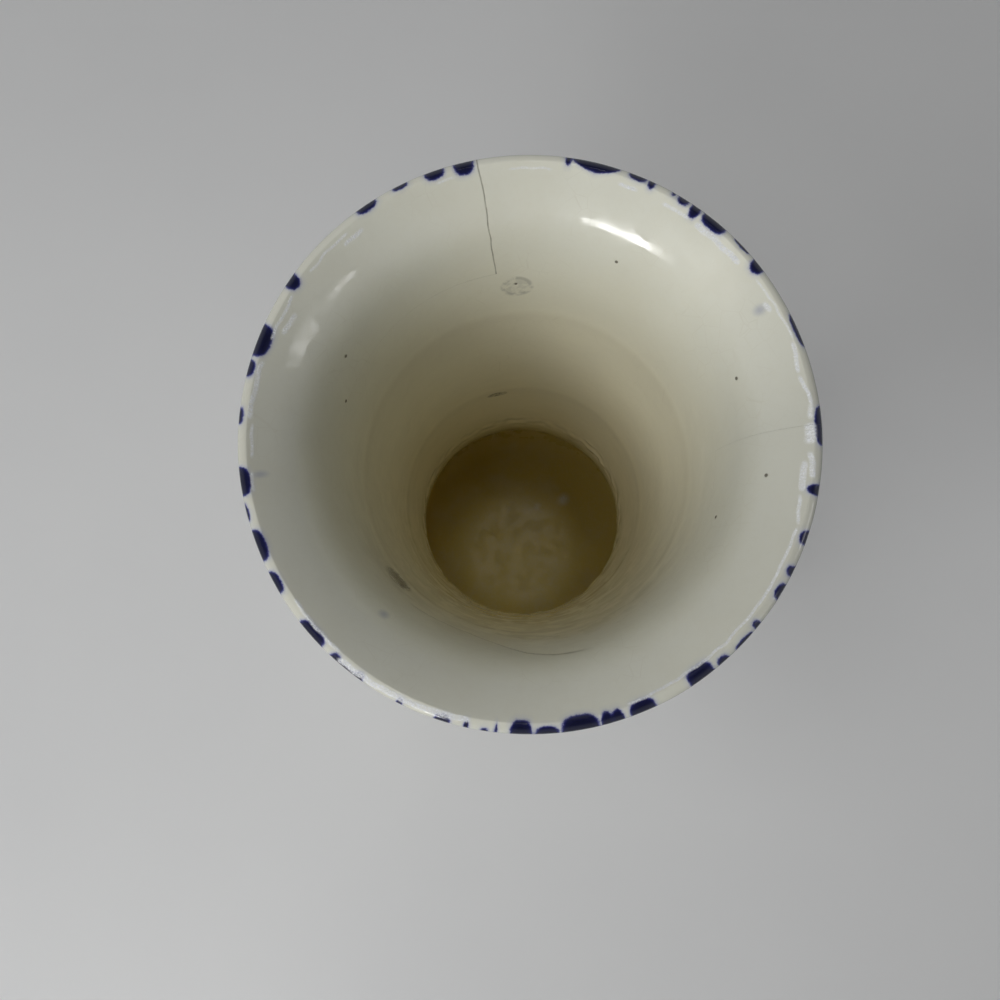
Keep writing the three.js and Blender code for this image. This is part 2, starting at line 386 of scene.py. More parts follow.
def glaze(name, under=cream, pits=()):
    """Glossy cream glaze that reads what is painted on a piece: dabs, wear with painted
    highlights, painted shade, crack and dirt
    """
    made, tree, shader, place = new_material(name)
    height = node(tree, 'SeparateXYZ', place).outputs[2]
    outside = read(tree, 'outside')
    pooled = read(tree, 'pooled')
    wear_and_glints = read(tree, 'wear_and_glints')
    crack = read(tree, 'crack')
    ring = read(tree, 'ring_mark')
    dirt = read(tree, 'dirt')
    smudge = read(tree, 'smudge')
    dull = read(tree, 'dull')
    painted_side_shade = read(tree, 'painted_side_shade')

    # Inside, the cream carries painted shade that browns and darkens it further down
    colour = blend(tree, outside, painted_depth_shade(tree, height), under)
    cloudy = span(tree, grain(tree, place, cloud_size, 4), 0.42, 0.75, 0, 0.45)
    colour = blend(tree, cloudy, colour, blend(tree, 0.5, colour, warm_cream))
    mottle = span(tree, grain(tree, place, mottle_size, 4), 0.40, 0.75, 0, 0.10)
    colour = blend(tree, mottle, colour, warm_cream)
    colour = blend(tree, calc(tree, 'MULTIPLY', pooled, 0.75), colour, pooled_brown)
    # Painted shade: the inside of the rim is greyed, most on the right
    colour = blend(tree, painted_side_shade, colour, side_shade_grey)

    craze = node(tree, 'TexVoronoi', feature='DISTANCE_TO_EDGE')
    feed(tree, craze.inputs['Vector'], place)
    craze.inputs['Scale'].default_value = 1 / (craze_size * mm)
    hair = calc(tree, 'MULTIPLY', span(tree, craze.outputs['Distance'], 0.022, 0.008),
                span(tree, grain(tree, place, 20), 0.48, 0.66, 0, 0.08))
    colour = blend(tree, hair, colour, craze_brown)

    spots = calc(tree, 'MAXIMUM', sponge_dabs(tree, place, dab_size, (0.3, 0.1, 0.2)),
                 sponge_dabs(tree, place, dab_size * 0.62, (0.7, 0.4, 0.9)))
    spots = calc(tree, 'MULTIPLY', spots, outside)
    blue = calc(tree, 'MAXIMUM', read(tree, 'cobalt'), spots)
    ragged = calc(tree, 'MULTIPLY_ADD', grain(tree, place, 0.9, 4, 0.6), 0.30, -0.15)
    blue = calc(tree, 'MULTIPLY', calc(tree, 'ADD', blue, ragged), 0.5)
    tint = node(tree, 'ValToRGB', blue)
    stops = tint.color_ramp.elements
    stops[0].position, stops[0].color = 0.20, (0.55, 0.58, 0.66, 0.0)
    stops[1].position, stops[1].color = 0.80, (0.004, 0.005, 0.030, 1.0)
    for position, shade in (
        (0.38, (0.50, 0.53, 0.63, 0.22)),
        (0.46, (0.33, 0.36, 0.55, 0.55)),
        (0.50, (0.09, 0.10, 0.31, 0.92)),
        (0.535, (0.020, 0.022, 0.13, 1.0)),
        (0.60, (0.007, 0.008, 0.050, 1.0)),
    ):
        stops.new(position).color = shade
    colour = blend(tree, tint.outputs['Alpha'], colour, tint.outputs['Color'])
    colour = blend(tree, calc(tree, 'MULTIPLY', smudge, 0.5), colour, smudge_blue)

    # Rubbed glaze and painted highlights: the crest and two spots on the floor are whitened
    speckle = span(tree, grain(tree, place, speckle_size, 3, 0.7), 0.42, 0.62)
    rubbed = calc(tree, 'MULTIPLY', span(tree, wear_and_glints, 0.05, 0.7),
                  calc(tree, 'MULTIPLY_ADD', speckle, 0.5, 0.5))
    colour = blend(tree, rubbed, colour, rub_and_glint_white)

    hairline = calc(tree, 'ABSOLUTE', calc(tree, 'SUBTRACT', crack, crack_level))
    hairline = calc(tree, 'MULTIPLY_ADD', grain(tree, place, 1.2, 3), 0.16, hairline)
    split = span(tree, hairline, 0.31, 0.19)
    faded = calc(tree, 'MULTIPLY', split, span(tree, grain(tree, place, 5), 0.3, 0.6, 0.40, 0.75))
    colour = blend(tree, faded, colour, crack_brown)
    circle = span(tree, calc(tree, 'ABSOLUTE', calc(tree, 'SUBTRACT', ring, 1.0)), 0.30, 0.05)
    circle = calc(tree, 'MAXIMUM', circle, span(tree, ring, 0.9, 1.3, 0, 0.55))
    gaps = span(tree, grain(tree, place, 2.0), 0.38, 0.62, 0.15, 1)
    circle = calc(tree, 'MULTIPLY', circle, gaps)
    colour = blend(tree, calc(tree, 'MULTIPLY', circle, 0.5), colour, mark_grey)
    grime = calc(tree, 'MULTIPLY', span(tree, dirt, 0.15, 0.8),
                 span(tree, grain(tree, place, 1.8, 4, 0.65), 0.40, 0.58, 0.3, 1))
    colour = blend(tree, calc(tree, 'MULTIPLY', grime, 0.85), colour, dirt_brown)

    roughness = span(tree, grain(tree, place, patch_size, 4), 0.44, 0.60, 0.06, 0.20)
    roughness = calc(tree, 'MULTIPLY_ADD', rubbed, 0.25, roughness)
    roughness = calc(tree, 'MULTIPLY_ADD', dull, 0.42, roughness)
    roughness = calc(tree, 'MULTIPLY_ADD', grime, 0.35, roughness)

    ripples = calc(tree, 'MULTIPLY', grain(tree, place, ripple_size, 2), ripple_height)
    waves = calc(tree, 'MULTIPLY_ADD', grain(tree, place, wave_size, 2), wave_height, ripples)
    relief = calc(tree, 'MULTIPLY_ADD', split, -0.10, waves)
    relief = calc(tree, 'MULTIPLY_ADD', circle, -0.05, relief)
    relief = calc(tree, 'MULTIPLY_ADD', calc(tree, 'MULTIPLY', rubbed, speckle), 0.08, relief)
    relief = calc(tree, 'MULTIPLY_ADD', grime, 0.05, relief)
    if pits:
        away = nearest(tree, place, pits)
        hole = span(tree, away, 0.62, 0.34)
        colour = blend(tree, calc(tree, 'MULTIPLY', hole, 0.85), colour, dirt_brown)
        relief = calc(tree, 'MULTIPLY_ADD', span(tree, away, 0.9, 0.3), -0.12, relief)
    bump = node(tree, 'Bump')
    bump.inputs['Strength'].default_value = 1.0
    bump.inputs['Distance'].default_value = 1.0 * mm
    feed(tree, bump.inputs['Height'], relief)
    tree.links.new(bump.outputs[0], shader.inputs['Normal'])
    tree.links.new(colour, shader.inputs['Base Color'])
    tree.links.new(roughness, shader.inputs['Roughness'])
    return made


dabbed_glaze = glaze('dabbed_glaze')


def lower_body_bore(z):
    return curve_radius([(floor_z + floor_dish, floor_bore, bowl_flare),
                         (girth_z, belly_bore, 0)], z)


def lower_body_outside(z):
    return curve_radius([(base_z, base_radius, bowl_flare), (girth_z, belly_radius, 0)], z)


def floor_level(r):
    return floor_z + floor_dish * (r / floor_bore) ** 2


fillet_top = floor_z + floor_dish + floor_fillet
fillet_start = floor_bore - floor_fillet


def fillet_curve(t):
    """The rounded corner between the wall and the floor, from the wall inwards"""
    start = (lower_body_bore(fillet_top), fillet_top)
    corner = (floor_bore - 2, floor_z + floor_dish - 1)
    end = (fillet_start, floor_level(fillet_start))
    return tuple(mix(mix(a, b, t), mix(b, c, t), t) for a, b, c in zip(start, corner, end))


groove_inner = tongue_inner - groove_play
groove_outer = tongue_inner + tongue_width + groove_play
girth_shoulder = girth_z - lap_height
lower_body = turned('lower_body_bowl', [
    (0, base_z),
    (foot_inner, base_z),
    (groove_inner, base_z),
    (groove_inner, base_z + tongue_height),
    (groove_outer, base_z + tongue_height),
    (groove_outer, base_z),
    *along(lower_body_outside, base_z, girth_shoulder, 44),
    (belly_split, girth_shoulder),
    (belly_split, girth_z),
    *along(lower_body_bore, girth_z, fillet_top, 40),
    *(fillet_curve(i / 14) for i in range(1, 14)),
    *((fillet_start * (1 - i / 16), floor_level(fillet_start * (1 - i / 16))) for i in range(17)),
])


def bowl_outside(point):
    x, y, z = (c / mm for c in point)
    middle = (lower_body_outside(z) + lower_body_bore(max(z, floor_z + floor_dish))) / 2
    return 1.0 if math.hypot(x, y) > middle and z > base_z - 0.01 else 0.0


def bowl_pooled(point):
    """Glaze lies a little thicker round the edge of the floor"""
    x, y, z = (c / mm for c in point)
    if not floor_z - 1 < z < floor_z + 12:
        return 0.0
    return corner_pool * clamp(1 - abs(math.hypot(x, y) - floor_bore + 2) / pool_reach)


def bowl_dull(point):
    """Water has left the glaze dull over the floor"""
    z = point.z / mm
    if z < floor_z - 1:
        return 0.0
    return (1 - bowl_outside(point)) * clamp((fillet_top + dull_rise - z) / dull_fade)


def painted_floor_glints(point):
    """Two soft painted highlights on the floor, glints of light on its glaze"""
    most = 0.0
    if not floor_z - 1 < point.z / mm < fillet_top:
        return most
    for place, reach, strength in floor_glints:
        most = max(most, strength * clamp(1.2 - (point.xy / mm - Vector(place)).length / reach))
    return most


paint(lower_body, 'outside', bowl_outside)
# Painted highlights on the floor, carried by the wear and glint layer
paint(lower_body, 'wear_and_glints', painted_floor_glints)
paint(lower_body, 'pooled', bowl_pooled)
paint(lower_body, 'dull', bowl_dull)
settle(lower_body)
lower_body.data.materials.append(dabbed_glaze)
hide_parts('lower_body')
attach(lower_body, 'root')


# Girth slip
# The slip in the lapped joint at the widest place. Inside the vase it stands proud as a low,
# uneven bead, over which the glaze has run thin and pooled in the corners.
girth_bead = 0.5
bead_turns = 5


def slip_ring(name, join_z, bore, top_bore, split, bead):
    """A ring of slip on top of a lapped edge, with a bead inside"""
    return turned(name, [
        (bore, join_z),
        (split, join_z),
        (split, join_z + film),
        (top_bore, join_z + film),
        *((mix(top_bore, bore, t) - bead * math.sin(math.pi * t), join_z + film * (1 - t))
          for t in (0.15, 0.3, 0.5, 0.7, 0.85)),
    ])


def uneven_bead(point):
    """The bead of the girth slip stands proud more in some places than in others"""
    x, y, z = point
    radius = math.hypot(x, y)
    stand = belly_bore * mm - radius
    if stand <= 0:
        return point
    keep = 0.45 + 0.8 * noise.noise(Vector((x, y, 0)) / radius * bead_turns)
    grow = (belly_bore * mm - stand * clamp(keep, 0.1, 1)) / radius
    return Vector((x * grow, y * grow, z))


pooled_glaze = glaze('pooled_glaze', under=rgb(0.74, 0.73, 0.60))
girth_slip = slip_ring('girth_slip_bead', girth_z, belly_bore, belly_bore, belly_split,
                       girth_bead)
paint(girth_slip, 'pooled', lambda point: 0.5)
settle(girth_slip, uneven_bead)
girth_slip.data.materials.append(pooled_glaze)
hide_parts('girth_slip')
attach(girth_slip, 'root')


# Upper body
# The shoulder, thrown apart and lapped over the bowl. It closes in to a thin sleeve round the
# end of the neck. Outside it is glazed and dabbed like the bowl.
upper_body_height = 50
neck_height = 70
collar_height = 58
neck_foot_bore = 48
waist_bore = 43.8
neck_top_bore = 46.3
collar_top_bore = 52
bend_bore = 56.8
rim_bore = 61.3
lip_radius = 75
neck_wall = 5.2
waist_rise = 32
bend_depth = 18
bend_flare = 0.28
rim_depth = 8
rim_flare = 0.72
lip_flare = 1.35
shoulder_fall = 0.75
neck_inset = 12
sleeve_edge = 1.6

upper_body_z = girth_z + film
neck_foot_z = upper_body_z + upper_body_height
body_top_z = neck_foot_z + neck_inset
waist_z = neck_foot_z + waist_rise
neck_top_z = neck_foot_z + neck_height
collar_z = neck_top_z + film
collar_top_z = collar_z + collar_height
mouth_z = collar_top_z + film
rim_z = lip_z - rim_depth
bend_z = lip_z - bend_depth
lip_bore = lip_radius - neck_wall


def growth_between(below, above):
    return 2 / (1 / below + 1 / above)


neck_growth = (neck_top_bore - waist_bore) / (neck_top_z - waist_z)
collar_growth = (collar_top_bore - neck_top_bore) / (collar_top_z - neck_top_z)
mouth_growth = (bend_bore - collar_top_bore) / (bend_z - collar_top_z)
throat_stations = [
    (neck_foot_z, neck_foot_bore, 2 * (waist_bore - neck_foot_bore) / waist_rise),
    (waist_z, waist_bore, 0),
    (neck_top_z, neck_top_bore, growth_between(neck_growth, collar_growth)),
    (collar_top_z, collar_top_bore, growth_between(collar_growth, mouth_growth)),
    (bend_z, bend_bore, bend_flare),
    (rim_z, rim_bore, rim_flare),
    (lip_z, lip_bore, lip_flare),
]


def throat_bore(z):
    return curve_radius(throat_stations, z)


def throat_outside(z):
    return throat_bore(z) + neck_wall


def sleeve_bore(z):
    return throat_outside(z) + film


def upper_body_bore(z):
    return curve_radius([(upper_body_z, belly_bore, 0),
                         (neck_foot_z, sleeve_bore(neck_foot_z), -shoulder_fall)], z)


def upper_body_outside(z):
    return curve_radius([(upper_body_z, belly_radius, 0),
                         (body_top_z, sleeve_bore(body_top_z) + sleeve_edge, -shoulder_fall)], z)


upper_body = turned('upper_body_shoulder', [
    (belly_split, girth_shoulder),
    (belly_radius, girth_shoulder),
    *along(upper_body_outside, upper_body_z, body_top_z, 44),
    *along(sleeve_bore, body_top_z, neck_foot_z, 6),
    *along(upper_body_bore, neck_foot_z, upper_body_z, 40)[1:],
    (belly_split, upper_body_z),
])


def shoulder_outside(point):
    x, y, z = (c / mm for c in point)
    radius = math.hypot(x, y)
    if z > neck_foot_z - 0.1:
        return 1.0 if radius > sleeve_bore(z) + 0.5 * sleeve_edge else 0.0
    level = max(z, upper_body_z)
    return 1.0 if radius > (upper_body_outside(level) + upper_body_bore(level)) / 2 else 0.0


paint(upper_body, 'outside', shoulder_outside)
settle(upper_body)
upper_body.data.materials.append(dabbed_glaze)
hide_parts('upper_body')
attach(upper_body, 'root')


# Neck slip
# The slip round the inserted end of the neck. Outside it is drawn up to a smooth fillet where
# the shoulder meets the neck, and glaze has pooled on it.
fillet_height = 4.3
neck_slip = turned('neck_slip_fillet', [
    *along(sleeve_bore, neck_foot_z, body_top_z, 8),
    (sleeve_bore(body_top_z) + sleeve_edge, body_top_z),
    *((throat_outside(body_top_z + fillet_height * t) + (film + sleeve_edge) * (1 - t) ** 1.8,
       body_top_z + fillet_height * t) for t in (0.12, 0.26, 0.42, 0.6, 0.8)),
    *along(throat_outside, body_top_z + fillet_height, neck_foot_z, 10),
])
paint(neck_slip, 'pooled', lambda point: 0.2)
paint(neck_slip, 'outside', lambda point: 1.0 if point.z > body_top_z * mm else 0.0)
settle(neck_slip)
neck_slip.data.materials.append(pooled_glaze)
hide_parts('neck_slip')
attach(neck_slip, 'root')


# Neck
# A waisted tube whose lower end stands in the sleeve of the upper body. Its inside carries the
# marks of the fingers that opened it, and crumbs of slip at the narrowest place.
waist_crumbs = 0.55
seam_ridge = 0.07
slow_relief = 0.06
smear_azimuth, smear_step = 36, 0.9
smudge_azimuth, smudge_z = 103, 205.6
crease_step = 0.6
crease_line = [(232, 27.5), (239, 29.5), (245, 30.9), (252, 31.2), (260, 26.8),
               (265, 22.5), (270, 18.7), (278, 16.2), (288, 14.5)]


def swell(distance, reach):
    """A smooth hump, 1 at no distance and 0 from the reach outwards"""
    t = clamp(1 - abs(distance) / reach)
    return t * t * (3 - 2 * t)


def line_at(points, azimuth):
    """Value at an azimuth on a line through (azimuth, value) points, or None beyond its ends"""
    for (a0, v0), (a1, v1) in zip(points, points[1:]):
        if a0 <= azimuth <= a1:
            return mix(v0, v1, (azimuth - a0) / (a1 - a0))
    return None


def wall_relief(azimuth, z):
    """How far the inside wall stands back from its turned curve, in millimetres"""
    turn = math.radians(azimuth)
    around = Vector((math.cos(turn), math.sin(turn), 0))
    back = slow_relief * noise.noise(around * 1.5 + Vector((0, 0, z / 12)))
    for level in (neck_top_z, collar_top_z):
        uneven = 0.9 + 0.9 * noise.noise(around * 3 + Vector((2, 0, level)))
        back -= seam_ridge * uneven * swell(z - level - film / 2, 4.5)
    crumbs = noise.noise(around * 11 + Vector((0, 4, z / 6)))
    back -= waist_crumbs * crumbs * swell(z - waist_z, 8)
    smear = clamp(noise.noise(around * 9 + Vector((3, 4, z / 4))) + 0.15)
    back -= smear_step * smear * swell(azimuth - smear_azimuth, 24) * swell(z - waist_z - 2, 9)
    crease = line_at(crease_line, azimuth)
    if crease is not None:
        below = lip_z - crease - z
        ends = clamp((azimuth - 232) / 8) * clamp((288 - azimuth) / 10)
        step = clamp(below / 0.8 + 0.5) * clamp(1 - below / 16)
        back += crease_step * step * ends
    return back


def throat_middle(z):
    return throat_bore(clamp(z, neck_foot_z, lip_z)) + neck_wall / 2


def azimuth_of(x, y):
    return math.degrees(math.atan2(y, x)) % 360


def thrown_inside(point):
    """Gives the turned inside of the throat its relief"""
    x, y, z = (c / mm for c in point)
    radius = math.hypot(x, y)
    if radius > throat_middle(z) or z > lip_z:
        return point
    fade = clamp((lip_z - 4 - z) / 8)
    grow = 1 + wall_relief(azimuth_of(x, y), z) * fade / radius
    return Vector((x * grow, y * grow, z)) * mm


def throat_side(point):
    x, y, z = (c / mm for c in point)
    return 1.0 if math.hypot(x, y) > throat_middle(z) else 0.0


def seam_pooled(point):
    """Glaze runs thicker beside the seams of the throat, on the inside"""
    z = point.z / mm
    most = 0.0
    for level in (neck_top_z, collar_top_z):
        under = level + film / 2 - z
        most = max(most, clamp(1 - under / 24) if under > 0 else clamp(1 + under / 3))
    return 0.16 * most * (1 - throat_side(point))


def seam_smudge(point):
    """A dark touch of slip that was left at the seam on top of the neck, on the far side"""
    x, y, z = (c / mm for c in point)
    across = (azimuth_of(x, y) - smudge_azimuth) * 0.8
    near = clamp(1 - math.hypot(across / 5.5, (z - smudge_z) / 2.4))
    return 1.6 * near * (1 - throat_side(point))


def throat_split(join_z):
    return (throat_bore(join_z) + throat_outside(join_z - lap_height)) / 2


def spigot(join_z):
    """Inner lip on top of a section of the throat"""
    return [(throat_split(join_z), join_z - lap_height), (throat_split(join_z), join_z)]


def skirt(join_z):
    """Skirt under the next section, which laps over that lip"""
    skirt_z = join_z - lap_height
    return [(throat_split(join_z), join_z + film), (throat_split(join_z), skirt_z),
            (throat_outside(skirt_z), skirt_z)]


neck = turned('neck_tube', [
    *along(throat_outside, neck_foot_z, neck_top_z - lap_height, 46),
    *spigot(neck_top_z),
    *along(throat_bore, neck_top_z, waist_z + 10, 26),
    *along(throat_bore, waist_z + 10, waist_z - 8, 26)[1:],
    *along(throat_bore, waist_z - 8, neck_foot_z, 14)[1:],
])
settle(neck, thrown_inside)
paint(neck, 'outside', throat_side)
paint(neck, 'pooled', seam_pooled)
paint(neck, 'dirt', seam_smudge)
neck.data.materials.append(dabbed_glaze)
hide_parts('neck')
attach(neck, 'root')


# Collar slip
# The slip in the lapped joint on top of the neck, the deeper of the two rings that show when
# one looks into the vase.


def throat_slip(name, join_z):
    """Slip that was smoothed level with the wall inside, and glazed over with it"""
    ring = slip_ring(name, join_z, throat_bore(join_z), throat_bore(join_z + film),
                     throat_split(join_z), 0)
    settle(ring, thrown_inside)
    paint(ring, 'pooled', seam_pooled)
    paint(ring, 'dirt', seam_smudge)
    return ring


collar_slip = throat_slip('collar_slip_bead', neck_top_z)
collar_slip.data.materials.append(pooled_glaze)
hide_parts('collar_slip')
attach(collar_slip, 'root')


# Collar
# A tube that widens upwards, lapped over the neck and under the mouth. It is thrown apart, and
# glazed inside and dabbed outside with the rest.
collar = turned('collar_tube', [
    *skirt(neck_top_z),
    *along(throat_outside, collar_z, collar_top_z - lap_height, 40),
    *spigot(collar_top_z),
    *along(throat_bore, collar_top_z, collar_z, 56),
])
settle(collar, thrown_inside)
paint(collar, 'outside', throat_side)
paint(collar, 'pooled', seam_pooled)
paint(collar, 'dirt', seam_smudge)
collar.data.materials.append(dabbed_glaze)
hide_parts('collar')
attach(collar, 'root')


# Mouth slip
# The slip in the lapped joint under the mouth, the upper of the two rings inside.
mouth_slip = throat_slip('mouth_slip_bead', collar_top_z)
mouth_slip.data.materials.append(pooled_glaze)
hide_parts('mouth_slip')
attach(mouth_slip, 'root')


# Mouth
# The trumpet at the top, whose rounded lip slopes outwards from a worn crest that also carries
# painted highlights. Cobalt dabs lap over the lip, and a hairline crack runs down from it on the
# far side. Painted shade greys the inside of the rim, most on the right.
lip_crown = 1.7
crest_inset = 2.6
lip_inner = (69.0, 318.0)
crest_radius = lip_radius - crest_inset
mouth_steps = 704
clear_band = 4
dabs_from = 9
painted_band = 9
deepest_dab = 8
halo = 3

# Where the photograph was taken from, and the outline of the rim in it, in pixels
eye = Vector((-4.0, -51.8, 503.9)) * mm
eye_turn = (math.radians(9.95), math.radians(0.95), math.radians(0.17))
eye_axes = Matrix.Rotation(eye_turn[2], 3, 'Z') @ Matrix.Rotation(eye_turn[1], 3, 'Y') \
    @ Matrix.Rotation(eye_turn[0], 3, 'X')
frame_pixels = 1000
focal_pixels = 751
rim_centre = (530.3, 445.3)
rim_half = (292.1, 289.1)

# Dabs on the lip: where each begins and ends round the rim as seen, in degrees from the right,
# how far it reaches in from the edge in millimetres, how dark it is and how square
lip_dabs = [
    (0, 7.8, 1.7, 0.45, 2.4), (20, 27, 1.1, 0.40, 2.4), (37, 40, 2.5, 1.0, 2.4),
    (41.5, 45.5, 0.5, 0.55, 2.4), (48, 53.4, 2.5, 1.0, 2.8), (54.2, 56.3, 3.1, 1.0, 2.6),
    (57.1, 59.4, 1.5, 1.0, 2.4), (60.1, 60.9, 0.6, 0.6, 2.4), (64.6, 66, 1.7, 0.9, 2.4),
    (66.6, 70.1, 1.1, 0.9, 2.4), (72.1, 81.6, 2.4, 0.85, 1.4), (81.9, 83, 1.7, 0.5, 2.4),
    (101.3, 105.3, 2.9, 1.0, 2.6), (107.3, 111.3, 1.9, 1.0, 2.4), (115, 118, 0.7, 0.55, 2.4),
    (122, 126.4, 1.4, 0.95, 2.4), (143.7, 146.8, 2.7, 1.0, 2.4), (155.2, 161.8, 3.4, 1.0, 2.8),
    (162.7, 166.2, 1.5, 0.95, 2.4), (172.5, 175.7, 0.9, 0.6, 2.4), (184.3, 190.1, 2.6, 1.0, 2.6),
    (191.8, 195.3, 0.7, 0.6, 2.4), (197.2, 203.7, 2.6, 1.0, 2.8), (206.1, 211, 2.0, 1.0, 2.4),
    (217.8, 224.3, 2.5, 1.0, 2.8), (226.6, 229, 1.7, 0.75, 2.0), (232.6, 234.8, 1.7, 0.75, 2.0),
    (227, 234.8, 0.7, 0.65, 3.0), (242.6, 243.8, 1.4, 0.65, 2.0), (250.7, 253.9, 1.7, 0.9, 2.6),
    (256.7, 257.6, 2.0, 0.8, 2.0), (260.2, 261.6, 0.7, 0.65, 2.0), (262.8, 263.4, 2.5, 0.65, 2.0),
    (266, 270.3, 3.7, 1.0, 2.8), (271, 275.7, 2.0, 1.0, 2.4), (276.3, 283.8, 4.0, 1.0, 2.8),
    (284.3, 286.9, 3.3, 1.0, 2.2), (286.5, 289, 3.1, 1.0, 2.2), (290.3, 295.7, 3.2, 1.0, 2.8),
    (303.5, 309.2, 3.6, 1.0, 4.0), (310.3, 313, 1.5, 0.95, 2.4), (315, 319.6, 0.9, 0.6, 2.4),
    (320.5, 322.2, 1.7, 0.55, 2.4), (327.7, 331.2, 1.7, 0.5, 2.4), (332.9, 335.2, 1.7, 0.55, 2.4),
    (339.8, 342.7, 1.9, 0.95, 2.4), (349.9, 352.2, 3.1, 1.0, 2.0),
]

# Wear and painted highlights along the crest of the lip: from and to in the same degrees, the
# distance from the edge at both ends, half its width in millimetres, and how strong it is
crest_wear_and_glints = [
    (0, 5, 3.0, 3.0, 1.65, 0.8), (5, 9, 2.6, 2.2, 0.9, 0.6), (8, 15, 1.9, 3.4, 0.6, 0.9),
    (15, 22, 3.4, 2.6, 0.6, 0.9), (22, 37, 2.2, 2.6, 0.45, 0.5), (29, 32, 4.3, 4.3, 0.75, 0.9),
    (41, 54, 3.7, 3.7, 0.83, 1.0), (55, 62, 3.7, 3.7, 0.6, 0.7), (67, 72, 3.7, 3.7, 0.6, 0.7),
    (85, 95, 3.1, 3.1, 0.45, 0.5), (105, 110, 3.0, 3.0, 0.45, 0.5),
    (127, 133, 4.5, 4.5, 0.6, 0.8), (130, 142, 2.6, 2.6, 0.45, 0.6),
    (147, 158, 2.9, 2.9, 0.52, 0.7), (150, 156, 5.6, 5.2, 0.75, 0.8),
    (162, 175, 3.0, 2.6, 0.75, 0.8), (175, 183, 3.4, 3.4, 0.52, 0.7),
    (185, 190, 3.0, 3.0, 0.52, 0.7), (213, 228, 2.6, 2.6, 0.6, 0.7),
    (228, 258, 0.9, 2.0, 0.8, 1.0), (290, 343, 3.4, 3.4, 0.45, 0.8),
    (343, 350, 3.4, 4.5, 0.6, 0.7), (350, 357, 4.5, 4.5, 0.9, 1.0),
    (353, 359, 1.9, 3.0, 0.9, 0.9),
]

crack_azimuth = [(-3, 100.6), (3.2, 100.1), (10.6, 100.1), (19.9, 99.7), (27, 99.2)]
ring_azimuth, ring_depth, ring_radius = 92.8, 33.8, 4.3
dirt_azimuth, dirt_depth = 223.3, 41.5
dirt_half_width, dirt_half_height = 5.5, 7.5
grey_azimuth, grey_depth = 231.9, 9.9
# Painted shade inside the rim: depth it stays full to, depth it fades over, strength round the rim
side_shade_depth, side_shade_fade = 14, 22
side_shade_by_azimuth = [(0, 0.30), (25, 0.12), (42, 0.0), (75, 0.0), (110, 0.05), (150, 0.15),
                   (180, 0.20), (230, 0.12), (270, 0.10), (300, 0.15), (335, 0.28), (360, 0.30)]
blue_smudges = [(30.8, 1.5, 6.4, 1.9), (186.2, 1.0, 5.2, 2.2)]
pinholes = [(154.4, 16.4), (164.8, 25.4), (149.4, 54.4), (15.6, 10.8), (349.3, 5.7),
            (338.8, 20.3), (63.5, 14.6), (93.2, 32.3)]


def seen_on_rim(point):
    """Angle round the rim and distance in from its edge, as seen from above in the photo"""
    away = eye_axes.transposed() @ (point - eye)
    across = frame_pixels / 2 + focal_pixels * away.x / -away.z
    down = frame_pixels / 2 - focal_pixels * away.y / -away.z
    u = (across - rim_centre[0]) / rim_half[0]
    v = (rim_centre[1] - down) / rim_half[1]
    return azimuth_of(u, v), (1 - math.hypot(u, v)) * lip_radius


def rim_place(point):
    """The same for any point of the mouth, with the distance negative on the outside"""
    x, y, z = (c / mm for c in point)
    if z > lip_z or not throat_side(point):
        return seen_on_rim(point)
    edge = Vector((x, y, 0)).normalized() * lip_radius
    angle, inset = seen_on_rim(out_of_true(Vector((edge.x, edge.y, lip_z)) * mm))
    return angle, min(0, inset) - (lip_z - z)


def cobalt(point):
    """Depth in the nearest dab on the lip: 0 from 3 mm outside, 1 at its edge, 2 in the middle"""
    if point.z / mm < lip_z - painted_band:
        return 0.0
    angle, inset = rim_place(point)
    if inset > deepest_dab:
        return 0.0
    degree = math.radians(lip_radius)
    deepest = -halo
    for start, end, reach, strength, power in lip_dabs:
        middle, half = (start + end) / 2, (end - start) / 2 * degree
        off = ((angle - middle + 180) % 360 - 180) * degree
        if abs(off) > half + halo:
            continue
        outer = 1.2 + 0.5 * half
        u, v = abs(off) / half, abs(inset) / (reach if inset > 0 else outer)
        size = (u ** power + v ** power) ** (1 / power)
        scale = (u * half + v * (reach if inset > 0 else outer)) / (u + v + 1e-6)
        inside = min((1 - size) * scale, mix(-1, halo, strength))
        deepest = max(deepest, inside)
    return (clamp(deepest, -halo, halo) + halo) / halo


def crest_rub_and_glint(point):
    """How far the glaze is rubbed through along the crest, with painted highlights on it, in lines
    that wander a little
    """
    if point.z / mm < lip_z - painted_band:
        return 0.0
    angle, inset = rim_place(point)
    most = 0.0
    for start, end, from_edge, to_edge, half, strength in crest_wear_and_glints:
        if start <= angle <= end:
            line = mix(from_edge, to_edge, (angle - start) / (end - start))
            line += 0.5 * noise.noise(Vector((angle / 2.5, half, 0)))
            ends = clamp(min(angle - start, end - angle) / 1.0)
            most = max(most, strength * ends * clamp(1.3 - abs(inset - line) / half))
    return most


def crack_offset(point):
    """Distance from the crack plus 10, or 0 where there is none"""
    x, y, z = (c / mm for c in point)
    if z < lip_z - 30:
        return 0.0
    depth = lip_z - z
    outer = throat_side(point) and z < lip_z
    line = line_at(crack_azimuth, min(depth, 3) if outer else depth)
    if line is None or (outer and depth > 8):
        return 0.0
    stray = 0.22 * noise.noise(Vector((z / 3.5, 1, 0)))
    off = (azimuth_of(x, y) - line) * math.radians(math.hypot(x, y)) + stray
    return crack_level + clamp(off, -5, 5)


def wall_distance(point, azimuth, depth):
    """Distance round and down the inside wall from a place on it, in millimetres"""
    x, y, z = (c / mm for c in point)
    if throat_side(point):
        return 99.0, 99.0
    off = (azimuth_of(x, y) - azimuth + 180) % 360 - 180
    return off * math.radians(math.hypot(x, y)), lip_z - depth - z


